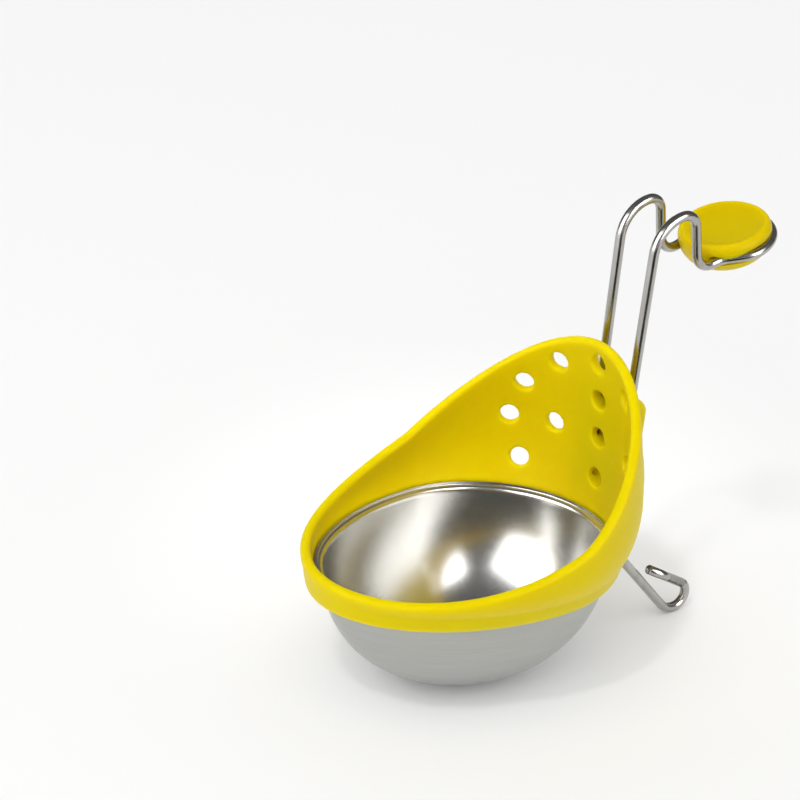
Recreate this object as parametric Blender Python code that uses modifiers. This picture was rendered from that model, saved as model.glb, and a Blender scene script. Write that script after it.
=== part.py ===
"""Egg poaching cup with a wire pan hook.

A steel cup for one egg sits in a soft perforated collar. One bent wire rises from a boss behind the collar,
hooks over the rim of a pan and holds a thumb pad in its loop. The wire's other end is a tail with an open curl
that touches the table, so the cup stands level.

Metres, +Z up. The low lip faces -Y, the handle is at +Y. Sizes are given in millimetres from the centre of the
cup's rim plane. At the end the whole object is set down with its base at Z = 0, centred on the origin.
"""
import math
from collections import namedtuple

import bmesh
import bpy
from mathutils import Matrix, Vector

MM = 0.001
GAP = 0.3

# Egg-shaped outlines in plan: half width, reach to the back, reach to the front, centre along Y
Egg = namedtuple("Egg", "half back front centre")
EGG_POWER = 1.94
RIM = Egg(31.8, 33.1, 46.9, -1.65)
ANGLES = 60

# Cup
STEEL = 0.6
RIM_STEP = ((1.0, 0.0), (1.0, -0.75), (0.992, -1.25), (0.977, -1.5), (0.967, -1.75))
BOWL_SCALE = 0.965
BOWL_DEPTH = 36.05
BOWL_POWER = 2.15
BOWL_ROUND = 0.55
BOWL_TOP = -2.1
BOWL_SHIFT = -7.15
BASE_Z = -35.5
BASE_SCALE = 0.2
BOWL_ROWS = 10

# Collar
FOOT_Z = -4.8
LEDGE_Z = -2.05
FOOT_OUTER = Egg(32.8, 35.1, 49.6, -1.65)
WALL_INNER = Egg(32.1, 33.4, 47.2, -1.65)
WALL_OUTER = Egg(34.2, 35.3, 50.2, -1.65)
CREST = Egg(36.0, 30.2, 50.4, -0.23)
CREST_HEIGHT = (18.165, 21.674, 5.593, 0.24)
LIP_RADIUS = 1.33
BULGE = 0.1
BULGE_FLAT = 0.69
WALL_ROWS = 6
LIP_STEPS = 5

# Drain holes: angle from the back in radians, height; each is repeated on the other side
HOLE_RADIUS = 2.5
SIDE_HOLES = ((0.385, 37.3), (0.66, 28.8), (0.773, 18.4), (0.426, 19.2), (0.692, 6.7))
MIDDLE_HOLE = 41.3
BLIND_HOLE = 31.0
BOSS_HOLES = (20.4, 8.9)
POCKET_RADIUS = 1.3

# Boss: side outline as (y, z), and half its width
BOSS_HALF = 9.0
BOSS_OUTLINE = ((33.0, 3.6), (35.6, 4.2), (38.6, 9.5), (39.6, 30.6), (37.8, 32.9), (31.2, 33.6))
BOSS_BEVEL = 3.4

# Wire: side outline of one leg as (y, z) with the bend radius at each corner
WIRE_RADIUS = 1.25
LEG_HALF = 5.34
LEG_SPLAY = 0.0132
LEG_LEAN = 0.02
LEFT_END = (34.95, 6.6)
LEG_BOTTOM = (34.74, 0.0)
HOOK_CORNERS = (((36.6, 79.85), 9.0), ((48.25, 81.0), 4.0), ((51.3, 64.7), 4.5))
LOOP_START = (56.6, 66.25)
LOOP_PITCH = math.radians(16.3)
LOOP_HALF = 11.73
LOOP_FLARE = 10.1
LOOP_END = 11.35
TAIL_CORNERS = (((34.7, -8.5), 5.0), ((57.7, -34.25), 6.0), ((73.9, -34.25), 3.65))
TAIL_END = (50.1, -20.2)

# Thumb pad: turned outline as (radius, height over the wire's plane)
PAD_CENTRE = 9.9
PAD_OUTLINE = ((0.0, 2.5), (4.6, 2.65), (7.8, 3.1), (9.4, 3.7), (10.3, 4.05), (11.0, 3.8), (11.6, 2.9),
               (11.8, 1.6), (11.7, 0.0), (11.2, -1.6), (10.0, -3.4), (7.9, -4.8), (4.8, -5.6), (0.0, -5.9))
PAD_STEPS = 40

YELLOW = (0.62, 0.48, 0.005, 1.0)
STEEL_COLOUR = (0.62, 0.61, 0.59, 1.0)


def clear_scene():
    for item in list(bpy.data.objects):
        bpy.data.objects.remove(item, do_unlink=True)


def new_collection(name):
    collection = bpy.data.collections.new(name)
    bpy.context.scene.collection.children.link(collection)
    return collection


def new_material(name, colour, roughness, metallic):
    material = bpy.data.materials.new(name)
    material.use_nodes = True
    shader = material.node_tree.nodes["Principled BSDF"]
    shader.inputs["Base Color"].default_value = colour
    shader.inputs["Roughness"].default_value = roughness
    shader.inputs["Metallic"].default_value = metallic
    material.diffuse_color = colour
    return material


def new_object(name, data, collection, root):
    item = bpy.data.objects.new(name, data)
    collection.objects.link(item)
    item.parent = root
    return item


def as_cutter(item):
    item.hide_render = True
    item.display_type = "WIRE"
    return item


def finish_mesh(bm, name):
    """Turn the faces outward, scale to metres and store the mesh, smooth except at sharp edges."""
    bmesh.ops.recalc_face_normals(bm, faces=bm.faces)
    bmesh.ops.scale(bm, vec=(MM, MM, MM), verts=bm.verts)
    mesh = bpy.data.meshes.new(name)
    bm.to_mesh(mesh)
    bm.free()
    mesh.shade_smooth()
    mesh.set_sharp_from_angle(angle=math.radians(40))
    return mesh


def skin(rows, close_rows):
    """Quads between rows of points; each row is a closed ring."""
    bm = bmesh.new()
    grid = [[bm.verts.new(point) for point in row] for row in rows]
    count = len(rows[0])
    last = len(rows) if close_rows else len(rows) - 1
    for i in range(last):
        upper = grid[i]
        lower = grid[(i + 1) % len(rows)]
        for j in range(count):
            k = (j + 1) % count
            bm.faces.new((upper[j], upper[k], lower[k], lower[j]))
    return bm, grid


def boolean(item, other, operation):
    modifier = item.modifiers.new(operation.lower() + "_" + other.name, "BOOLEAN")
    modifier.operation = operation
    modifier.object = other
    return modifier


def signed_power(value, power):
    return math.copysign(abs(value) ** power, value)


def egg_point(egg, angle, grow=0.0, scale=1.0):
    """Point of an outline, grown outward by a distance; angle 0 is the back, a quarter turn is +X."""
    side = math.sin(angle)
    along = math.cos(angle)
    reach = egg.back if along >= 0.0 else egg.front
    x = signed_power(side, 2.0 / EGG_POWER) * (egg.half * scale + grow)
    y = signed_power(along, 2.0 / EGG_POWER) * (reach * scale + grow)
    return Vector((x, y + egg.centre * scale))


def egg_normal(egg, angle):
    ahead = egg_point(egg, angle + 0.01) - egg_point(egg, angle - 0.01)
    return Vector((-ahead.y, ahead.x)).normalized()


def ring_angles(count):
    return [2.0 * math.pi * i / count for i in range(count)]


def bowl_ring(depth_part):
    """One ring of the bowl's outer surface at a part of its full depth."""
    turn = math.asin(depth_part) * 2.0 / math.pi
    scale = BOWL_SCALE * (1.0 - depth_part ** BOWL_POWER) ** BOWL_ROUND
    return scale, BOWL_SHIFT * turn * turn, -BOWL_DEPTH * depth_part


def build_cup(collection, root, material):
    rings = [(scale, 0.0, z) for scale, z in RIM_STEP]
    first = math.asin(-BOWL_TOP / BOWL_DEPTH)
    last = math.asin(34.9 / BOWL_DEPTH)
    for i in range(BOWL_ROWS):
        rings.append(bowl_ring(math.sin(first + (last - first) * i / (BOWL_ROWS - 1))))
    rings.append((BASE_SCALE, rings[-1][1], BASE_Z))
    rows = []
    for scale, shift, z in rings:
        points = [egg_point(RIM, a, scale=scale) for a in ring_angles(ANGLES)]
        rows.append([(p.x, p.y + shift, z) for p in points])
    bm, grid = skin(rows, False)
    bm.faces.new(grid[-1])
    cup = new_object("cup", finish_mesh(bm, "cup"), collection, root)
    shell = cup.modifiers.new("shell", "SOLIDIFY")
    shell.thickness = STEEL * MM
    shell.offset = -1.0
    shell.use_even_offset = True
    cup.data.materials.append(material)
    return cup


def crest_height(angle):
    return sum(value * math.cos(i * angle) for i, value in enumerate(CREST_HEIGHT))


def bulge(angle):
    return BULGE * crest_height(angle) * (1.0 - BULGE_FLAT * math.cos(angle) ** 4)


def wall_point(angle, part, side):
    """Point of the wall at a part of its height; side is -1 on the inner face, 1 outside, 0 between."""
    if side:
        base = egg_point(WALL_OUTER if side > 0 else WALL_INNER, angle)
    else:
        base = (egg_point(WALL_OUTER, angle) + egg_point(WALL_INNER, angle)) / 2.0
    outward = egg_normal(CREST, angle)
    top = egg_point(CREST, angle) + outward * LIP_RADIUS * side
    swell = bulge(angle) * math.sin(math.pi * part ** 0.8)
    point = base.lerp(top, part) + outward * swell
    return Vector((point.x, point.y, crest_height(angle) * part))


def lip_point(angle, turn):
    centre = egg_point(CREST, angle) + egg_normal(CREST, angle) * LIP_RADIUS * math.cos(turn)
    return Vector((centre.x, centre.y, crest_height(angle) + LIP_RADIUS * math.sin(turn)))


def collar_section(angle):
    """Closed outline of the collar's wall on one radial plane, up the inside and down the outside."""
    inner_foot = egg_point(RIM, angle, grow=GAP, scale=BOWL_SCALE)
    seat = egg_point(WALL_INNER, angle)
    outer_foot = egg_point(FOOT_OUTER, angle)
    corner = egg_point(FOOT_OUTER, angle, grow=-0.6)
    middle = (outer_foot + egg_point(WALL_OUTER, angle)) / 2.0
    points = [(*inner_foot, FOOT_Z), (*inner_foot, LEDGE_Z), (*seat, LEDGE_Z)]
    points += [wall_point(angle, i / WALL_ROWS, -1) for i in range(WALL_ROWS + 1)]
    points += [lip_point(angle, math.pi * (1.0 - i / (LIP_STEPS + 1))) for i in range(1, LIP_STEPS + 1)]
    points += [wall_point(angle, 1.0 - i / WALL_ROWS, 1) for i in range(WALL_ROWS + 1)]
    points += [(*middle, FOOT_Z / 2.0), (*outer_foot, FOOT_Z + 0.6), (*corner, FOOT_Z)]
    return points


def hole_frame(angle, height):
    """Middle of the wall at a height, and the wall's outward normal there."""
    part = height / crest_height(angle)
    centre = wall_point(angle, part, 0)
    across = wall_point(angle + 0.01, part, 0) - wall_point(angle - 0.01, part, 0)
    up = wall_point(angle, part + 0.02, 0) - wall_point(angle, part - 0.02, 0)
    return centre, up.cross(across).normalized()


def add_cylinder(bm, centre, axis, radius, length):
    place = Matrix.Translation(centre) @ axis.to_track_quat("Z", "Y").to_matrix().to_4x4()
    bmesh.ops.create_cone(bm, cap_ends=True, segments=16, radius1=radius, radius2=radius, depth=length,
                          matrix=place)


def build_hole_cutter(collection, root):
    bm = bmesh.new()
    for angle, height in SIDE_HOLES:
        for side in (-1.0, 1.0):
            centre, axis = hole_frame(side * angle, height)
            add_cylinder(bm, centre, axis, HOLE_RADIUS, 8.0)
    centre, axis = hole_frame(0.0, MIDDLE_HOLE)
    add_cylinder(bm, centre, axis, HOLE_RADIUS, 8.0)
    backward = Vector((0.0, 1.0, 0.0))
    add_cylinder(bm, Vector((0.0, 33.0, BLIND_HOLE)), backward, HOLE_RADIUS, 8.0)
    for height in BOSS_HOLES:
        add_cylinder(bm, Vector((0.0, 36.0, height)), backward, HOLE_RADIUS, 14.0)
    return as_cutter(new_object("cut_holes", finish_mesh(bm, "cut_holes"), collection, root))


def build_pocket_cutter(collection, root):
    bm = bmesh.new()
    for height in (BLIND_HOLE, *BOSS_HOLES):
        add_cylinder(bm, Vector((0.3, 35.2, height)), Vector((1.0, 0.0, 0.0)), POCKET_RADIUS, 11.4)
    return as_cutter(new_object("cut_pockets", finish_mesh(bm, "cut_pockets"), collection, root))


def build_boss(collection, root):
    """The block behind the wall that holds the wire, as a guide to be joined to the wall."""
    bm = bmesh.new()
    left = [bm.verts.new((-BOSS_HALF, y, z)) for y, z in BOSS_OUTLINE]
    outline = bm.faces.new(left)
    sweep = bmesh.ops.extrude_face_region(bm, geom=[outline])
    moved = [item for item in sweep["geom"] if isinstance(item, bmesh.types.BMVert)]
    bmesh.ops.translate(bm, vec=(2.0 * BOSS_HALF, 0.0, 0.0), verts=moved)
    boss = as_cutter(new_object("join_boss", finish_mesh(bm, "join_boss"), collection, root))
    bevel = boss.modifiers.new("round", "BEVEL")
    bevel.width = BOSS_BEVEL * MM
    bevel.segments = 3
    bevel.limit_method = "ANGLE"
    bevel.angle_limit = math.radians(35)
    return boss


def build_collar(collection, root, material, boss, cutters):
    rows = [collar_section(angle) for angle in ring_angles(ANGLES)]
    bm, _ = skin(rows, True)
    collar = new_object("collar", finish_mesh(bm, "collar"), collection, root)
    boolean(collar, boss, "UNION")
    for cutter in cutters:
        boolean(collar, cutter, "DIFFERENCE")
    collar.data.materials.append(material)
    return collar


def fillet(start, corners, end, steps=8):
    """Polyline from start to end with an arc of its own radius at each corner."""
    path = [Vector(start)]
    stops = [Vector(start)] + [Vector(point) for point, _ in corners] + [Vector(end)]
    for i, (_, radius) in enumerate(corners):
        corner = stops[i + 1]
        back = (stops[i] - corner).normalized()
        ahead = (stops[i + 2] - corner).normalized()
        half = back.angle(ahead) / 2.0
        middle = corner + (back + ahead).normalized() * radius / math.sin(half)
        first = corner + back * radius / math.tan(half) - middle
        swing = first.angle_signed(corner + ahead * radius / math.tan(half) - middle)
        for j in range(steps + 1):
            turn = -swing * j / steps
            path.append(middle + Matrix.Rotation(turn, 2) @ first)
    path.append(Vector(end))
    return path


def half_wire():
    """One leg from the boss up over the hook to the far end of the loop, as (half width, y, z)."""
    points = []
    run = 0.0
    side = fillet(LEG_BOTTOM, HOOK_CORNERS, LOOP_START)
    for i, point in enumerate(side):
        if i:
            run += (point - side[i - 1]).length
        points.append((LEG_HALF + LEG_SPLAY * run, point.x, point.y))
    wide = points[-1][0]
    loop = []
    for i in range(1, 7):
        part = i / 6.0
        loop.append((wide + (LOOP_HALF - wide) * (3.0 * part ** 2 - 2.0 * part ** 3), LOOP_FLARE * part))
    for i in range(1, 11):
        turn = math.pi / 2.0 * i / 10.0
        loop.append((LOOP_HALF * math.cos(turn), LOOP_FLARE + LOOP_END * math.sin(turn)))
    for half, along in loop:
        y = LOOP_START[0] + along * math.cos(LOOP_PITCH)
        z = LOOP_START[1] + along * math.sin(LOOP_PITCH)
        points.append((half, y, z))
    return points


def wire_path():
    """The whole wire: left leg, hook, loop, hook again, right leg, tail and curl."""
    half = half_wire()
    left = [Vector((-LEG_HALF, *LEFT_END))]
    left += [Vector((-w + LEG_LEAN * z, y, z)) for w, y, z in half[1:]]
    right = [Vector((w + LEG_LEAN * z, y, z)) for w, y, z in reversed(half[:-1])]
    tail = fillet(LEG_BOTTOM, TAIL_CORNERS, TAIL_END)
    return left + right + [Vector((LEG_HALF, p.x, p.y)) for p in tail[1:]]


def new_tube(name, radius, path, collection, root):
    curve = bpy.data.curves.new(name, "CURVE")
    curve.dimensions = "3D"
    curve.bevel_depth = radius * MM
    curve.bevel_resolution = 3
    curve.use_fill_caps = True
    spline = curve.splines.new("POLY")
    spline.points.add(len(path) - 1)
    for target, point in zip(spline.points, path):
        target.co = (point.x * MM, point.y * MM, point.z * MM, 1.0)
    spline.use_smooth = True
    return new_object(name, curve, collection, root)


def build_wire(collection, root, material):
    wire = new_tube("handle_wire", WIRE_RADIUS, wire_path(), collection, root)
    wire.data.materials.append(material)
    return wire


def build_wire_cutter(collection, root):
    """The wire grown by the fitting gap, as a closed mesh for cutting the bores and the pad's groove."""
    path = wire_path()
    path[0] += (path[0] - path[1]).normalized() * GAP
    tube = new_tube("guide_bore", WIRE_RADIUS + GAP, path, collection, root)
    bpy.context.view_layer.update()
    evaluated = tube.evaluated_get(bpy.context.evaluated_depsgraph_get())
    mesh = bpy.data.meshes.new_from_object(evaluated)
    place = tube.matrix_world.copy()
    bpy.data.objects.remove(tube, do_unlink=True)
    bm = bmesh.new()
    bm.from_mesh(mesh)
    bmesh.ops.remove_doubles(bm, verts=bm.verts, dist=0.00001)
    bm.to_mesh(mesh)
    bm.free()
    cutter = new_object("cut_wire", mesh, collection, root)
    cutter.matrix_world = place
    return as_cutter(cutter)


def build_pad(collection, root, material, wire_cutter):
    """Turned pad, tilted into the plane of the wire's loop and grooved all round by the wire."""
    mesh = bpy.data.meshes.new("thumb_pad")
    points = [(r * MM, 0.0, h * MM) for r, h in PAD_OUTLINE]
    mesh.from_pydata(points, [(i, i + 1) for i in range(len(points) - 1)], [])
    pad = new_object("thumb_pad", mesh, collection, root)
    screw = pad.modifiers.new("turn", "SCREW")
    screw.axis = "Z"
    screw.steps = PAD_STEPS
    screw.render_steps = PAD_STEPS
    screw.use_merge_vertices = True
    screw.merge_threshold = 0.00001
    screw.use_smooth_shade = True
    y = LOOP_START[0] + PAD_CENTRE * math.cos(LOOP_PITCH)
    z = LOOP_START[1] + PAD_CENTRE * math.sin(LOOP_PITCH)
    pad.location = (LEG_LEAN * z * MM, y * MM, z * MM)
    pad.rotation_euler = (LOOP_PITCH, 0.0, 0.0)
    boolean(pad, wire_cutter, "DIFFERENCE")
    pad.data.materials.append(material)
    return pad


def set_down(root, items):
    """Move the root so that the object's lowest point is at Z = 0 and its box is centred on the origin."""
    bpy.context.view_layer.update()
    depsgraph = bpy.context.evaluated_depsgraph_get()
    points = []
    for item in items:
        evaluated = item.evaluated_get(depsgraph)
        mesh = evaluated.to_mesh()
        points += [evaluated.matrix_world @ vertex.co for vertex in mesh.vertices]
        evaluated.to_mesh_clear()
    middle = [(min(p[i] for p in points) + max(p[i] for p in points)) / 2.0 for i in (0, 1)]
    root.location = (-middle[0], -middle[1], -min(p.z for p in points))


def main():
    clear_scene()
    parts = new_collection("egg_poaching_cup")
    cutters = new_collection("cutters")
    root = new_object("egg_poaching_cup_root", None, parts, None)
    yellow = new_material("yellow_soft_plastic", YELLOW, 0.5, 0.0)
    pad_yellow = new_material("yellow_pad", YELLOW, 0.45, 0.0)
    cup_steel = new_material("satin_steel", STEEL_COLOUR, 0.35, 1.0)
    wire_steel = new_material("polished_steel", STEEL_COLOUR, 0.15, 1.0)
    holes = build_hole_cutter(cutters, root)
    pockets = build_pocket_cutter(cutters, root)
    wire_cutter = build_wire_cutter(cutters, root)
    boss = build_boss(cutters, root)
    cup = build_cup(parts, root, cup_steel)
    collar = build_collar(parts, root, yellow, boss, (holes, pockets, wire_cutter))
    wire = build_wire(parts, root, wire_steel)
    pad = build_pad(parts, root, pad_yellow, wire_cutter)
    set_down(root, (cup, collar, wire, pad))


main()
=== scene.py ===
"""Looks of an egg poaching cup: its four pieces at full detail, their materials and a plain studio.

Sizes are millimetres from the centre of the cup's rim plane, +Z up. The low lip faces -Y, and the handle
is at +Y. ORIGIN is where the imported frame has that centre, in metres.
"""

import math
from collections import namedtuple

import bmesh
import bpy
from mathutils import Matrix, Vector


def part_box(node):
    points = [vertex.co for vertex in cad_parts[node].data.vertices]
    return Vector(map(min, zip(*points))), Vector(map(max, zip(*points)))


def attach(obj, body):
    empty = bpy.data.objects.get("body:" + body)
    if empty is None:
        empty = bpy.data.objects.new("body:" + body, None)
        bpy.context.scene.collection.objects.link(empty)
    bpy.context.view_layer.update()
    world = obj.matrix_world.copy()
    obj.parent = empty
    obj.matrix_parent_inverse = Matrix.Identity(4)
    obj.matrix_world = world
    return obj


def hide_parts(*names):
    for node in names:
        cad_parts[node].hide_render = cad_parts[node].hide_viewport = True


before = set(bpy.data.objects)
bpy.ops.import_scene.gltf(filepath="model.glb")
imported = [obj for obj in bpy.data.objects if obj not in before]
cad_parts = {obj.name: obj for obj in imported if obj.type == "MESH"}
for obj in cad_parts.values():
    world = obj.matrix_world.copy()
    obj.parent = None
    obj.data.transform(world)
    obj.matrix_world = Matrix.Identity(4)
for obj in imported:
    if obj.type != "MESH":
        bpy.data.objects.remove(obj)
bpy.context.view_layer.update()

MM = 0.001
GAP = 0.3

# Egg-shaped outlines in plan: half width, reach to the back, reach to the front, centre along Y
Egg = namedtuple("Egg", "half back front centre")
EGG_POWER = 1.94
RIM = Egg(31.8, 33.1, 46.9, -1.65)

# Cup
STEEL = 0.6
RIM_STEP = ((1.0, 0.0), (1.0, -0.75), (0.992, -1.25), (0.977, -1.5), (0.967, -1.75))
BOWL_SCALE = 0.965
BOWL_DEPTH = 36.05
BOWL_POWER = 2.15
BOWL_ROUND = 0.55
BOWL_TOP = -2.1
BOWL_LAST = 34.9
BOWL_SHIFT = -7.15
BASE_Z = -35.5
BASE_SCALES = (0.2, 0.17, 0.12, 0.06)
CUP_ANGLES = 240
CUP_ROWS = 64
RIM_ROUND = 0.2
RIM_ROUND_STEPS = 4
RIM_SUBSTEPS = 6

# Collar
FOOT_Z = -4.8
FOOT_ROUND = 0.6
LEDGE_Z = -2.05
FOOT_OUTER = Egg(32.8, 35.1, 49.6, -1.65)
WALL_INNER = Egg(32.1, 33.4, 47.2, -1.65)
WALL_OUTER = Egg(34.2, 35.3, 50.2, -1.65)
CREST = Egg(36.0, 30.2, 50.4, -0.23)
CREST_HEIGHT = (18.165, 21.674, 5.593, 0.24)
LIP_RADIUS = 1.33
BULGE = 0.1
BULGE_FLAT = 0.69
COLLAR_ANGLES = 200
WALL_ROWS = 18
LIP_STEPS = 10
COLLAR_VOXEL = 0.44
COLLAR_SMOOTHING = 4

# Drain holes: angle from the back in radians, height; each is repeated on the other side
HOLE_RADIUS = 2.5
HOLE_RELIEF = 0.08
HOLE_RELIEF_IN = 0.35
HOLE_PLAIN_IN = 0.8
HOLE_WALL_EXTRA = 0.1
HOLE_CUT = 8.0
SIDE_HOLES = ((0.385, 37.3), (0.66, 28.8), (0.773, 18.4), (0.426, 19.2), (0.692, 6.7))
MIDDLE_HOLE = 41.3
BLIND_HOLE = 31.0
BLIND_CUT_Y = 33.0
BOSS_HOLES = (20.4, 8.9)
BOSS_CUT = 14.0
BOSS_CUT_Y = 36.0
POCKET_RADIUS = 1.3
POCKET_CUT = 11.4
POCKET_X = 0.3
POCKET_Y = 35.2
CUTTER_STEPS = 48

# Boss: side outline as (y, z), and half its width
BOSS_HALF = 9.0
BOSS_OUTLINE = ((33.0, 3.6), (35.6, 4.2), (38.6, 9.5), (39.6, 30.6), (37.8, 32.9), (31.2, 33.6))
BOSS_BEVEL = 3.4
BOSS_BEVEL_STEPS = 8

# Wire: side outline of one leg as (y, z) with the bend radius at each corner
WIRE_RADIUS = 1.25
WIRE_SIDES = 28
WIRE_CHAMFER = 0.22
SHORTEST_STEP = 0.02
LEG_HALF = 5.34
LEG_SPLAY = 0.0132
LEG_LEAN = 0.02
LEFT_END = (34.95, 6.6)
LEG_BOTTOM = (34.74, 0.0)
HOOK_CORNERS = (((36.6, 79.85), 9.0), ((48.25, 81.0), 4.0), ((51.3, 64.7), 4.5))
LOOP_START = (56.6, 66.25)
LOOP_PITCH = math.radians(16.3)
LOOP_HALF = 11.73
LOOP_FLARE = 10.1
LOOP_END = 11.35
TAIL_CORNERS = (((34.7, -8.5), 5.0), ((57.7, -34.25), 6.0), ((73.9, -34.25), 3.65))
TAIL_END = (50.1, -20.2)
BEND_STEPS = 20

# Thumb pad: turned outline as (radius, height over the wire's plane)
PAD_CENTRE = 9.9
PAD_OUTLINE = ((0.0, 2.5), (4.6, 2.65), (7.8, 3.1), (9.4, 3.7), (10.3, 4.05), (11.0, 3.8), (11.6, 2.9),
               (11.8, 1.6), (11.7, 0.0), (11.2, -1.6), (10.0, -3.4), (7.9, -4.8), (4.8, -5.6), (0.0, -5.9))
PAD_STEPS = 160
PAD_SUBSTEPS = 6
PAD_VOXEL = 0.22
PAD_SMOOTHING = 4

# Share of the way to the middle of its neighbours that one smoothing round moves a point
SMOOTH_FACTOR = 0.5

# Part of its range that noise mostly keeps to, and the waves per metre of the plastic's grain
NOISE_LOW = 0.3
NOISE_HIGH = 0.7
FINE_GRAIN = 1600.0

# Colours, linear
YELLOW = (0.635, 0.523, 0.0, 1.0)
YELLOW_DEEP = (0.615, 0.499, 0.0, 1.0)
PAD_YELLOW = (0.62, 0.475, 0.0, 1.0)
PAD_DEEP = (0.6, 0.455, 0.0, 1.0)
YELLOW_GLOW = (1.0, 0.75, 0.08)
GLOW_DEPTH = 0.005
PLASTIC_IOR = 1.42
PLASTIC_SHINE = 0.35
YELLOW_SHEEN = (1.0, 0.85, 0.15, 1.0)
STEEL_LIGHT = (0.6, 0.595, 0.575, 1.0)
STEEL_DARK = (0.56, 0.555, 0.535, 1.0)
# Painted shade: the outside steel is darker than the inside steel to stand in for the shaded floor it
# reflects; the two ends are its random brushed tone
BRUSHED_LIGHT_WITH_SHADE = (0.47, 0.475, 0.46, 1.0)
BRUSHED_DARK_WITH_SHADE = (0.43, 0.435, 0.42, 1.0)
# Painted shade: the wire is darker than the inside steel to stand in for the dim surroundings it reflects;
# the two ends are its random tone
WIRE_LIGHT_WITH_SHADE = (0.46, 0.45, 0.43, 1.0)
WIRE_DARK_WITH_SHADE = (0.38, 0.37, 0.35, 1.0)
FLOOR_WHITE = (0.93, 0.93, 0.93, 1.0)

# Camera and studio, metres and degrees
CAMERA_AT = (0.40588, -0.35532, 0.32285)
CAMERA_FORWARD = (-0.71767, 0.54909, -0.42832)
CAMERA_ROLL = 0.0714
CAMERA_LENS = 109.2
CAMERA_SENSOR = 36.0
CAMERA_NEAR = 0.01
FLOOR_HALF = 6.0
FLAG_FROM = -50.0
FLAG_TO = 10.0
FLAG_NEAR = 0.1
FLAG_FAR = 1.2
FLAG_HEIGHT = 0.001
FLAG_BLACK = (0.02, 0.02, 0.02, 1.0)
SKY = 0.765
SKY_IN_GLOSS = 0.14

# Small steps for reading the direction of a curve or a wall
NUDGE = 0.01
NUDGE_UP = 0.02


def frame_origin():
    """The centre of the cup's rim plane in the frame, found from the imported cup's box."""
    low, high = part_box("cup")
    back = (RIM.centre + RIM.back) * MM
    return Vector(((low.x + high.x) / 2.0, high.y - back, high.z))


ORIGIN = frame_origin()


# Shapes shared with the frame

def signed_power(value, power):
    return math.copysign(abs(value) ** power, value)


def egg_point(egg, angle, grow=0.0, scale=1.0):
    """Point of an outline, grown outward by a distance; angle 0 is the back, a quarter turn is +X."""
    side = math.sin(angle)
    along = math.cos(angle)
    reach = egg.back if along >= 0.0 else egg.front
    x = signed_power(side, 2.0 / EGG_POWER) * (egg.half * scale + grow)
    y = signed_power(along, 2.0 / EGG_POWER) * (reach * scale + grow)
    return Vector((x, y + egg.centre * scale))


def egg_normal(egg, angle):
    ahead = egg_point(egg, angle + NUDGE) - egg_point(egg, angle - NUDGE)
    return Vector((-ahead.y, ahead.x)).normalized()


def ring_angles(count):
    return [2.0 * math.pi * i / count for i in range(count)]


def bowl_ring(depth_part):
    """One ring of the bowl's outer surface at a part of its full depth: scale, shift along Y, height."""
    turn = math.asin(depth_part) * 2.0 / math.pi
    scale = BOWL_SCALE * (1.0 - depth_part ** BOWL_POWER) ** BOWL_ROUND
    return scale, BOWL_SHIFT * turn * turn, -BOWL_DEPTH * depth_part


def crest_height(angle):
    return sum(value * math.cos(i * angle) for i, value in enumerate(CREST_HEIGHT))


def bulge(angle):
    return BULGE * crest_height(angle) * (1.0 - BULGE_FLAT * math.cos(angle) ** 4)


def wall_point(angle, part, side):
    """Point of the wall at a part of its height; side is -1 on the inner face, 1 outside, 0 between."""
    if side:
        base = egg_point(WALL_OUTER if side > 0 else WALL_INNER, angle)
    else:
        base = (egg_point(WALL_OUTER, angle) + egg_point(WALL_INNER, angle)) / 2.0
    outward = egg_normal(CREST, angle)
    top = egg_point(CREST, angle) + outward * LIP_RADIUS * side
    swell = bulge(angle) * math.sin(math.pi * part ** 0.8)
    point = base.lerp(top, part) + outward * swell
    return Vector((point.x, point.y, crest_height(angle) * part))


def lip_point(angle, turn):
    centre = egg_point(CREST, angle) + egg_normal(CREST, angle) * LIP_RADIUS * math.cos(turn)
    return Vector((centre.x, centre.y, crest_height(angle) + LIP_RADIUS * math.sin(turn)))


def collar_section(angle):
    """Closed outline of the collar's wall on one radial plane, up the inside and down the outside."""
    inner_foot = egg_point(RIM, angle, grow=GAP, scale=BOWL_SCALE)
    seat = egg_point(WALL_INNER, angle)
    outer_foot = egg_point(FOOT_OUTER, angle)
    corner = egg_point(FOOT_OUTER, angle, grow=-FOOT_ROUND)
    middle = (outer_foot + egg_point(WALL_OUTER, angle)) / 2.0
    points = [(*inner_foot, FOOT_Z), (*inner_foot, LEDGE_Z), (*seat, LEDGE_Z)]
    points += [wall_point(angle, i / WALL_ROWS, -1) for i in range(WALL_ROWS + 1)]
    points += [lip_point(angle, math.pi * (1.0 - i / (LIP_STEPS + 1)))
               for i in range(1, LIP_STEPS + 1)]
    points += [wall_point(angle, 1.0 - i / WALL_ROWS, 1) for i in range(WALL_ROWS + 1)]
    points += [(*middle, FOOT_Z / 2.0), (*outer_foot, FOOT_Z + FOOT_ROUND), (*corner, FOOT_Z)]
    return points


def hole_frame(angle, height):
    """Middle of the wall at a height, and the wall's outward normal there."""
    part = height / crest_height(angle)
    centre = wall_point(angle, part, 0)
    across = wall_point(angle + NUDGE, part, 0) - wall_point(angle - NUDGE, part, 0)
    up = wall_point(angle, part + NUDGE_UP, 0) - wall_point(angle, part - NUDGE_UP, 0)
    return centre, up.cross(across).normalized()


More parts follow.
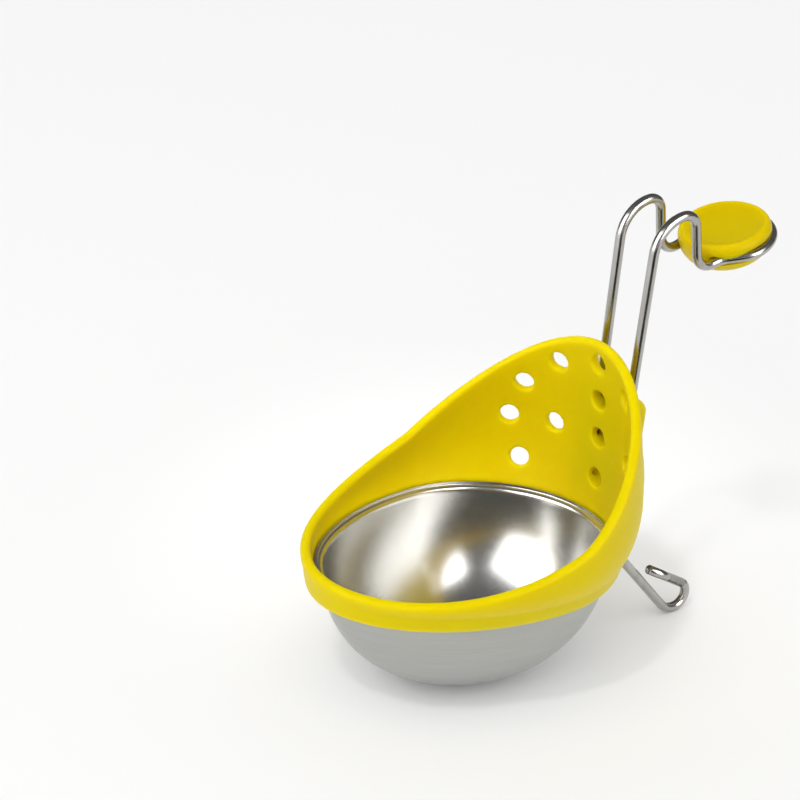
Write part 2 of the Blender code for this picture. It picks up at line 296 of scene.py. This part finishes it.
def fillet(start, corners, end):
    """Polyline from start to end with an arc of its own radius at each corner."""
    path = [Vector(start)]
    stops = [Vector(start)] + [Vector(point) for point, _ in corners] + [Vector(end)]
    for i, (_, radius) in enumerate(corners):
        corner = stops[i + 1]
        back = (stops[i] - corner).normalized()
        ahead = (stops[i + 2] - corner).normalized()
        half = back.angle(ahead) / 2.0
        middle = corner + (back + ahead).normalized() * radius / math.sin(half)
        first = corner + back * radius / math.tan(half) - middle
        swing = first.angle_signed(corner + ahead * radius / math.tan(half) - middle)
        for j in range(BEND_STEPS + 1):
            turn = -swing * j / BEND_STEPS
            path.append(middle + Matrix.Rotation(turn, 2) @ first)
    path.append(Vector(end))
    return path


def half_wire():
    """One leg from the boss up over the hook to the far end of the loop, as (half width, y, z)."""
    points = []
    run = 0.0
    side = fillet(LEG_BOTTOM, HOOK_CORNERS, LOOP_START)
    for i, point in enumerate(side):
        if i:
            run += (point - side[i - 1]).length
        points.append((LEG_HALF + LEG_SPLAY * run, point.x, point.y))
    wide = points[-1][0]
    loop = []
    for i in range(1, 2 * BEND_STEPS + 1):
        part = i / (2.0 * BEND_STEPS)
        ease = 3.0 * part ** 2 - 2.0 * part ** 3
        loop.append((wide + (LOOP_HALF - wide) * ease, LOOP_FLARE * part))
    for i in range(1, 2 * BEND_STEPS + 1):
        turn = math.pi / 2.0 * i / (2.0 * BEND_STEPS)
        loop.append((LOOP_HALF * math.cos(turn), LOOP_FLARE + LOOP_END * math.sin(turn)))
    for half, along in loop:
        y = LOOP_START[0] + along * math.cos(LOOP_PITCH)
        z = LOOP_START[1] + along * math.sin(LOOP_PITCH)
        points.append((half, y, z))
    return points


def wire_path():
    """The whole wire: left leg, hook, loop, hook again, right leg, tail and curl."""
    half = half_wire()
    left = [Vector((-LEG_HALF, *LEFT_END))]
    left += [Vector((-w + LEG_LEAN * z, y, z)) for w, y, z in half[1:]]
    right = [Vector((w + LEG_LEAN * z, y, z)) for w, y, z in reversed(half[:-1])]
    tail = fillet(LEG_BOTTOM, TAIL_CORNERS, TAIL_END)
    return left + right + [Vector((LEG_HALF, p.x, p.y)) for p in tail[1:]]


# Mesh work

def catmull(points, steps):
    """Smooth curve through points of any dimension."""
    curve = []
    last = len(points) - 1
    for i in range(last):
        a = Vector(points[max(i - 1, 0)])
        b = Vector(points[i])
        c = Vector(points[i + 1])
        d = Vector(points[min(i + 2, last)])
        for j in range(steps):
            t = j / steps
            curve.append(0.5 * (2.0 * b + (c - a) * t + (2.0 * a - 5.0 * b + 4.0 * c - d) * t ** 2
                                + (3.0 * b - a - 3.0 * c + d) * t ** 3))
    curve.append(Vector(points[last]))
    return curve


def skin(rows, close_rows):
    """Quads between rows of points; each row is a closed ring."""
    bm = bmesh.new()
    grid = [[bm.verts.new(point) for point in row] for row in rows]
    count = len(rows[0])
    last = len(rows) if close_rows else len(rows) - 1
    for i in range(last):
        upper = grid[i]
        lower = grid[(i + 1) % len(rows)]
        for j in range(count):
            k = (j + 1) % count
            bm.faces.new((upper[j], upper[k], lower[k], lower[j]))
    return bm, grid


def new_piece(bm, name):
    """Turn the faces outward, move the mesh into the frame in metres, and link it as a smooth object."""
    bmesh.ops.recalc_face_normals(bm, faces=bm.faces)
    bmesh.ops.transform(bm, matrix=Matrix.Translation(ORIGIN) @ Matrix.Scale(MM, 4), verts=bm.verts)
    mesh = bpy.data.meshes.new(name)
    bm.to_mesh(mesh)
    bm.free()
    mesh.shade_smooth()
    piece = bpy.data.objects.new(name, mesh)
    bpy.context.scene.collection.objects.link(piece)
    return piece


def baked(piece, helpers=()):
    """Replace a piece's mesh by the result of its modifiers and remove the helper objects."""
    bpy.context.view_layer.update()
    evaluated = piece.evaluated_get(bpy.context.evaluated_depsgraph_get())
    mesh = bpy.data.meshes.new_from_object(evaluated)
    piece.modifiers.clear()
    piece.data = mesh
    mesh.name = piece.name
    for helper in helpers:
        bpy.data.objects.remove(helper, do_unlink=True)
    return piece


def boolean(piece, other, operation):
    modifier = piece.modifiers.new(operation.lower() + "_" + other.name, "BOOLEAN")
    modifier.operation = operation
    modifier.object = other


def soften(piece, voxel, rounds):
    """Even out a joined and cut piece into one moulded skin with slightly rounded edges."""
    remesh = piece.modifiers.new("skin", "REMESH")
    remesh.mode = "VOXEL"
    remesh.voxel_size = voxel * MM
    remesh.use_smooth_shade = True
    smooth = piece.modifiers.new("soft_edges", "SMOOTH")
    smooth.factor = SMOOTH_FACTOR
    smooth.iterations = rounds


def tube(path, radius, name, chamfer=0.0):
    """Round wire along a path, with the frame carried along without twist, and chamfered cut ends."""
    path = [p for i, p in enumerate(path) if i == 0 or (p - path[i - 1]).length > SHORTEST_STEP]
    last = len(path) - 1
    tangents = [(path[min(i + 1, last)] - path[max(i - 1, 0)]).normalized() for i in range(last + 1)]
    side = tangents[0].orthogonal().normalized()
    stations = []
    for i, (point, tangent) in enumerate(zip(path, tangents)):
        if i:
            side = (tangents[i - 1].rotation_difference(tangent) @ side).normalized()
        stations.append((point, tangent, side.copy(), radius))
    if chamfer:
        for i, way in ((0, 1.0), (last, -1.0)):
            point, tangent, turn, _ = stations[i]
            inner = (point + tangent * way * chamfer, tangent, turn, radius)
            stations[i] = (point, tangent, turn, radius - chamfer)
            stations.insert(1 if i == 0 else len(stations) - 1, inner)
    rows = []
    for point, tangent, turn, size in stations:
        over = tangent.cross(turn)
        rows.append([point + (turn * math.cos(a) + over * math.sin(a)) * size
                     for a in ring_angles(WIRE_SIDES)])
    bm, grid = skin(rows, False)
    bm.faces.new(grid[0])
    bm.faces.new(grid[-1])
    return new_piece(bm, name)


def turned(outline, steps, place, name):
    """Closed solid of revolution about Z, moved by a matrix; the outline runs from axis to axis."""
    rows = []
    for radius, height in outline[1:-1]:
        rows.append([place @ Vector((radius * math.cos(a), radius * math.sin(a), height))
                     for a in ring_angles(steps)])
    bm, grid = skin(rows, False)
    for ring, (_, height) in ((grid[0], outline[0]), (grid[-1], outline[-1])):
        hub = bm.verts.new(place @ Vector((0.0, 0.0, height)))
        for j in range(steps):
            bm.faces.new((ring[j], ring[(j + 1) % steps], hub))
    return new_piece(bm, name)


# Pieces

def build_cup():
    rings = [(scale, 0.0, z) for scale, z in catmull(RIM_STEP, RIM_SUBSTEPS)]
    first = math.asin(-BOWL_TOP / BOWL_DEPTH)
    last = math.asin(BOWL_LAST / BOWL_DEPTH)
    for i in range(CUP_ROWS):
        rings.append(bowl_ring(math.sin(first + (last - first) * i / (CUP_ROWS - 1))))
    shift = rings[-1][1]
    rings += [(scale, shift, BASE_Z) for scale in BASE_SCALES]
    rows = []
    for scale, shift, z in rings:
        points = [egg_point(RIM, a, scale=scale) for a in ring_angles(CUP_ANGLES)]
        rows.append([(p.x, p.y + shift, z) for p in points])
    bm, grid = skin(rows, False)
    bm.faces.new(grid[-1])
    cup = new_piece(bm, "cup_bowl")
    shell = cup.modifiers.new("shell", "SOLIDIFY")
    shell.thickness = STEEL * MM
    shell.offset = -1.0
    shell.use_even_offset = True
    shell.material_offset = 1
    shell.material_offset_rim = 1
    edge = cup.modifiers.new("edge", "BEVEL")
    edge.width = RIM_ROUND * MM
    edge.segments = RIM_ROUND_STEPS
    edge.limit_method = "ANGLE"
    edge.angle_limit = math.radians(60)
    return cup


def along_axis(centre, axis):
    """Matrix that moves a turned solid to a centre and turns its Z onto an axis."""
    return Matrix.Translation(centre) @ axis.to_track_quat("Z", "Y").to_matrix().to_4x4()


def drain_cutter(centre, axis):
    """Cutter for a drain hole, a hair wider just under each face of the wall."""
    half = HOLE_CUT / 2.0
    wall = LIP_RADIUS + HOLE_WALL_EXTRA
    upper = ((HOLE_RADIUS, wall - HOLE_PLAIN_IN), (HOLE_RADIUS + HOLE_RELIEF, wall - HOLE_RELIEF_IN),
             (HOLE_RADIUS, wall), (HOLE_RADIUS, half), (0.0, half))
    lower = tuple((radius, -height) for radius, height in reversed(upper))
    return turned(lower + upper, CUTTER_STEPS, along_axis(centre, axis), "cut_hole")


def plain_cutter(centre, axis, radius, length, name):
    half = length / 2.0
    outline = ((0.0, -half), (radius, -half), (radius, half), (0.0, half))
    return turned(outline, CUTTER_STEPS, along_axis(centre, axis), name)


def collar_cutters():
    """Drain holes in the wall, the three holes at the boss and a cross pocket behind each of those."""
    cutters = []
    places = [(side * angle, height) for angle, height in SIDE_HOLES for side in (-1.0, 1.0)]
    for angle, height in places + [(0.0, MIDDLE_HOLE)]:
        centre, axis = hole_frame(angle, height)
        cutters.append(drain_cutter(centre, axis))
    backward = Vector((0.0, 1.0, 0.0))
    sideways = Vector((1.0, 0.0, 0.0))
    centre = Vector((0.0, BLIND_CUT_Y, BLIND_HOLE))
    cutters.append(plain_cutter(centre, backward, HOLE_RADIUS, HOLE_CUT, "cut_blind"))
    for height in BOSS_HOLES:
        centre = Vector((0.0, BOSS_CUT_Y, height))
        cutters.append(plain_cutter(centre, backward, HOLE_RADIUS, BOSS_CUT, "cut_through"))
    for height in (BLIND_HOLE, *BOSS_HOLES):
        centre = Vector((POCKET_X, POCKET_Y, height))
        cutters.append(plain_cutter(centre, sideways, POCKET_RADIUS, POCKET_CUT, "cut_pocket"))
    return cutters


def build_boss():
    """Block behind the back wall that holds the wire."""
    bm = bmesh.new()
    left = [bm.verts.new((-BOSS_HALF, y, z)) for y, z in BOSS_OUTLINE]
    outline = bm.faces.new(left)
    sweep = bmesh.ops.extrude_face_region(bm, geom=[outline])
    moved = [item for item in sweep["geom"] if isinstance(item, bmesh.types.BMVert)]
    bmesh.ops.translate(bm, vec=(2.0 * BOSS_HALF, 0.0, 0.0), verts=moved)
    boss = new_piece(bm, "join_boss")
    bevel = boss.modifiers.new("round", "BEVEL")
    bevel.width = BOSS_BEVEL * MM
    bevel.segments = BOSS_BEVEL_STEPS
    bevel.limit_method = "ANGLE"
    bevel.angle_limit = math.radians(35)
    return boss


def wire_cutter():
    """The wire grown by the fitting gap, for cutting the bores and the pad's groove."""
    path = wire_path()
    path[0] = path[0] + (path[0] - path[1]).normalized() * GAP
    return tube(path, WIRE_RADIUS + GAP, "cut_wire")


def build_collar():
    rows = [collar_section(angle) for angle in ring_angles(COLLAR_ANGLES)]
    bm, _ = skin(rows, True)
    collar = new_piece(bm, "collar_moulding")
    boss = build_boss()
    boolean(collar, boss, "UNION")
    cutters = collar_cutters() + [wire_cutter()]
    for cutter in cutters:
        boolean(collar, cutter, "DIFFERENCE")
    soften(collar, COLLAR_VOXEL, COLLAR_SMOOTHING)
    return baked(collar, [boss] + cutters)


def build_pad():
    y = LOOP_START[0] + PAD_CENTRE * math.cos(LOOP_PITCH)
    z = LOOP_START[1] + PAD_CENTRE * math.sin(LOOP_PITCH)
    place = Matrix.Translation((LEG_LEAN * z, y, z)) @ Matrix.Rotation(LOOP_PITCH, 4, "X")
    outline = catmull(PAD_OUTLINE, PAD_SUBSTEPS)
    pad = turned([(max(r, 0.0), h) for r, h in outline], PAD_STEPS, place, "pad_moulding")
    cutter = wire_cutter()
    boolean(pad, cutter, "DIFFERENCE")
    soften(pad, PAD_VOXEL, PAD_SMOOTHING)
    return baked(pad, [cutter])


# Materials

class Nodes:
    """Small helper for wiring a material's nodes."""

    def __init__(self, name):
        self.material = bpy.data.materials.new(name)
        self.material.use_nodes = True
        self.tree = self.material.node_tree
        self.shader = self.tree.nodes["Principled BSDF"]
        self.where = self.add("ShaderNodeTexCoord").outputs["Object"]

    def add(self, kind):
        return self.tree.nodes.new(kind)

    def link(self, start, end):
        self.tree.links.new(start, end)

    def noise(self, stretch, detail=3.0):
        """Noise with its own number of waves per metre along each axis."""
        mapping = self.add("ShaderNodeMapping")
        mapping.inputs["Scale"].default_value = stretch
        self.link(self.where, mapping.inputs["Vector"])
        noise = self.add("ShaderNodeTexNoise")
        noise.inputs["Scale"].default_value = 1.0
        noise.inputs["Detail"].default_value = detail
        self.link(mapping.outputs["Vector"], noise.inputs["Vector"])
        return noise.outputs["Fac"]

    def roughness(self, value, low, high):
        """Roughness between two limits, from a noise value in its usual range."""
        node = self.add("ShaderNodeMapRange")
        node.inputs["From Min"].default_value = NOISE_LOW
        node.inputs["From Max"].default_value = NOISE_HIGH
        node.inputs["To Min"].default_value = low
        node.inputs["To Max"].default_value = high
        self.link(value, node.inputs["Value"])
        self.link(node.outputs["Result"], self.shader.inputs["Roughness"])

    def colours(self, value, first, second):
        """Base colour between two colours, from a noise value in its usual range."""
        ramp = self.add("ShaderNodeValToRGB")
        ramp.color_ramp.elements[0].position = NOISE_LOW
        ramp.color_ramp.elements[1].position = NOISE_HIGH
        ramp.color_ramp.elements[0].color = first
        ramp.color_ramp.elements[1].color = second
        self.link(value, ramp.inputs["Fac"])
        self.link(ramp.outputs["Color"], self.shader.inputs["Base Color"])

    def bump(self, value, height, strength):
        node = self.add("ShaderNodeBump")
        node.inputs["Distance"].default_value = height
        node.inputs["Strength"].default_value = strength
        self.link(value, node.inputs["Height"])
        self.link(node.outputs["Normal"], self.shader.inputs["Normal"])

    def set(self, **values):
        """Constants on the shader's own sockets, with _ for a space."""
        for key, value in values.items():
            self.shader.inputs[key.replace("_", " ")].default_value = value


def moulded_yellow(name, light, deep, smoothest, roughest):
    """Soft plastic that light enters a few millimetres deep, with a fine moulded grain."""
    m = Nodes(name)
    m.set(Specular_IOR_Level=PLASTIC_SHINE, Specular_Tint=YELLOW_SHEEN, IOR=PLASTIC_IOR,
          Subsurface_Weight=1.0, Subsurface_Radius=YELLOW_GLOW, Subsurface_Scale=GLOW_DEPTH)
    m.colours(m.noise((45.0, 45.0, 45.0)), deep, light)
    m.roughness(m.noise((900.0, 900.0, 900.0)), low=smoothest, high=roughest)
    m.bump(m.noise((FINE_GRAIN, FINE_GRAIN, FINE_GRAIN), detail=4.0), height=0.00004, strength=0.35)
    return m.material


def satin_steel():
    """Inside of the bowl: pressed and blasted to a fine even grain."""
    m = Nodes("satin_steel_inside")
    m.set(Metallic=1.0)
    m.colours(m.noise((25.0, 25.0, 60.0)), STEEL_DARK, STEEL_LIGHT)
    m.roughness(m.noise((1200.0, 1200.0, 1200.0)), low=0.22, high=0.26)
    m.bump(m.noise((2600.0, 2600.0, 2600.0), detail=1.0), height=0.000004, strength=0.12)
    return m.material


def brushed_steel():
    """Outside of the bowl: brushed round and round, its colour darkened as painted shade for the shaded
    floor it reflects.
    """
    m = Nodes("brushed_steel_outside")
    m.set(Metallic=1.0, Anisotropic=0.5)
    m.colours(m.noise((60.0, 60.0, 3500.0)), BRUSHED_DARK_WITH_SHADE, BRUSHED_LIGHT_WITH_SHADE)
    m.roughness(m.noise((60.0, 60.0, 3200.0)), low=0.36, high=0.48)
    m.bump(m.noise((120.0, 120.0, 4200.0), detail=2.0), height=0.000004, strength=0.12)
    return m.material


def drawn_steel():
    """Wire: drawn and polished, with faint lines and a few duller spots; its colour darkened as painted
    shade for the dim surroundings it reflects.
    """
    m = Nodes("drawn_steel_wire")
    m.set(Metallic=1.0)
    m.colours(m.noise((500.0, 500.0, 90.0)), WIRE_DARK_WITH_SHADE, WIRE_LIGHT_WITH_SHADE)
    m.roughness(m.noise((700.0, 700.0, 160.0)), low=0.16, high=0.28)
    m.bump(m.noise((1500.0, 1500.0, 300.0), detail=2.0), height=0.00001, strength=0.25)
    return m.material


def matt_card(name, colour, roughness, shine):
    """Plain matt material for the studio's floor and card."""
    m = Nodes(name)
    m.set(Base_Color=colour, Roughness=roughness, Specular_IOR_Level=shine)
    return m.material


# Studio

def studio_sheet(bm, name, material):
    """Link a sheet built in frame metres as part of the studio."""
    mesh = bpy.data.meshes.new(name)
    bm.to_mesh(mesh)
    bm.free()
    mesh.materials.append(material)
    sheet = bpy.data.objects.new(name, mesh)
    bpy.context.scene.collection.objects.link(sheet)
    return sheet


def build_floor():
    bm = bmesh.new()
    bmesh.ops.create_grid(bm, x_segments=1, y_segments=1, size=FLOOR_HALF)
    return studio_sheet(bm, "studio_floor", matt_card("studio_floor", FLOOR_WHITE, 0.9, 0.1))


def build_flag():
    """Dark card lying before the object, seen only in reflections, which gives the wire its dark lines."""
    bm = bmesh.new()
    near = [(angle, FLAG_NEAR) for angle in (FLAG_FROM, FLAG_TO)]
    far = [(angle, FLAG_FAR) for angle in (FLAG_TO, FLAG_FROM)]
    for angle, reach in near + far:
        turn = math.radians(angle)
        bm.verts.new((math.cos(turn) * reach, math.sin(turn) * reach, FLAG_HEIGHT))
    bm.faces.new(bm.verts)
    flag = studio_sheet(bm, "studio_flag", matt_card("studio_flag", FLAG_BLACK, 1.0, 0.0))
    flag.visible_camera = False
    flag.visible_diffuse = False
    flag.visible_shadow = False
    return flag


def place_light(name, data, azimuth, elevation, distance, aim=(0.0, 0.0, 0.0)):
    """Light at a distance from a point, aimed at it; azimuth 0 is +X, a quarter turn is +Y."""
    light = bpy.data.objects.new(name, data)
    a, e = math.radians(azimuth), math.radians(elevation)
    toward = Vector((math.cos(a) * math.cos(e), math.sin(a) * math.cos(e), math.sin(e)))
    light.location = Vector(aim) + toward * distance
    light.rotation_euler = toward.to_track_quat("Z", "Y").to_euler()
    bpy.context.scene.collection.objects.link(light)
    return light


def softbox(name, azimuth, elevation, distance, width, height, power):
    data = bpy.data.lights.new(name, "AREA")
    data.shape = "RECTANGLE"
    data.size = width
    data.size_y = height
    data.energy = power
    return place_light(name, data, azimuth, elevation, distance)


def wide_sun(name, azimuth, elevation, spread, strength):
    """Even light from one part of the sky, as wide as a large diffuser."""
    data = bpy.data.lights.new(name, "SUN")
    data.angle = math.radians(spread)
    data.energy = strength
    return place_light(name, data, azimuth, elevation, distance=1.0)


def soft_spot(name, azimuth, elevation, distance, aim, reach, power):
    """Soft spot that lights a round area of a given radius, kept off what lies outside it."""
    data = bpy.data.lights.new(name, "SPOT")
    data.energy = power
    data.shadow_soft_size = 0.06
    data.spot_size = 2.0 * math.atan2(reach, distance)
    data.spot_blend = 0.9
    return place_light(name, data, azimuth, elevation, distance, aim)


def build_lights():
    """Softboxes for reflections only, then fills that light only diffuse surfaces."""
    for box in (softbox("softbox_left", azimuth=-87.0, elevation=26.0, distance=1.0,
                        width=1.15, height=0.9, power=13.0),
                softbox("softbox_right", azimuth=12.0, elevation=28.0, distance=1.0,
                        width=0.8, height=0.85, power=11.0)):
        box.visible_diffuse = False
    for fill in (softbox("fill", azimuth=-75.0, elevation=40.0, distance=1.2,
                         width=0.8, height=0.8, power=2.0),
                 wide_sun("overhead", azimuth=-60.0, elevation=62.0, spread=50.0, strength=0.45),
                 wide_sun("front", azimuth=-48.0, elevation=26.0, spread=45.0, strength=0.55),
                 soft_spot("inner_fill", azimuth=-62.0, elevation=55.0, distance=0.8,
                           aim=(-0.03, -0.004, 0.06), reach=0.07, power=13.0)):
        fill.visible_glossy = False


def build_world():
    """White surroundings, much dimmer where they are seen in a reflection."""
    world = bpy.data.worlds.new("studio_world")
    world.use_nodes = True
    background = world.node_tree.nodes["Background"]
    background.inputs["Color"].default_value = (1.0, 1.0, 1.0, 1.0)
    path = world.node_tree.nodes.new("ShaderNodeLightPath")
    level = world.node_tree.nodes.new("ShaderNodeMapRange")
    level.inputs["To Min"].default_value = SKY
    level.inputs["To Max"].default_value = SKY_IN_GLOSS
    world.node_tree.links.new(path.outputs["Is Glossy Ray"], level.inputs["Value"])
    world.node_tree.links.new(level.outputs["Result"], background.inputs["Strength"])
    bpy.context.scene.world = world


def build_camera():
    data = bpy.data.cameras.new("camera")
    data.lens = CAMERA_LENS
    data.sensor_width = CAMERA_SENSOR
    data.clip_start = CAMERA_NEAR
    camera = bpy.data.objects.new("camera", data)
    forward = Vector(CAMERA_FORWARD).normalized()
    level = forward.cross(Vector((0.0, 0.0, 1.0))).normalized()
    above = level.cross(forward)
    right = level * math.cos(CAMERA_ROLL) + above * math.sin(CAMERA_ROLL)
    up = above * math.cos(CAMERA_ROLL) - level * math.sin(CAMERA_ROLL)
    camera.matrix_world = Matrix((
        (right.x, up.x, -forward.x, CAMERA_AT[0]),
        (right.y, up.y, -forward.y, CAMERA_AT[1]),
        (right.z, up.z, -forward.z, CAMERA_AT[2]),
        (0.0, 0.0, 0.0, 1.0)))
    bpy.context.scene.collection.objects.link(camera)
    bpy.context.scene.camera = camera


def dress(piece, materials, node):
    """Give a piece its materials, hang it on the root body and hide the CAD node it stands for."""
    piece.data.materials.clear()
    for material in materials:
        piece.data.materials.append(material)
    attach(piece, "root")
    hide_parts(node)


cup = build_cup()
dress(cup, (brushed_steel(), satin_steel()), "cup")
collar = build_collar()
collar_yellow = moulded_yellow("yellow_soft_plastic", YELLOW, YELLOW_DEEP, smoothest=0.41, roughest=0.51)
dress(collar, (collar_yellow,), "collar")
wire = tube(wire_path(), WIRE_RADIUS, "hook_wire", WIRE_CHAMFER)
dress(wire, (drawn_steel(),), "handle_wire")
pad = build_pad()
pad_yellow = moulded_yellow("yellow_pad", PAD_YELLOW, PAD_DEEP, smoothest=0.37, roughest=0.47)
dress(pad, (pad_yellow,), "thumb_pad")

build_floor()
build_world()
build_flag()
build_lights()
build_camera()
bpy.context.scene.view_settings.view_transform = "Standard"
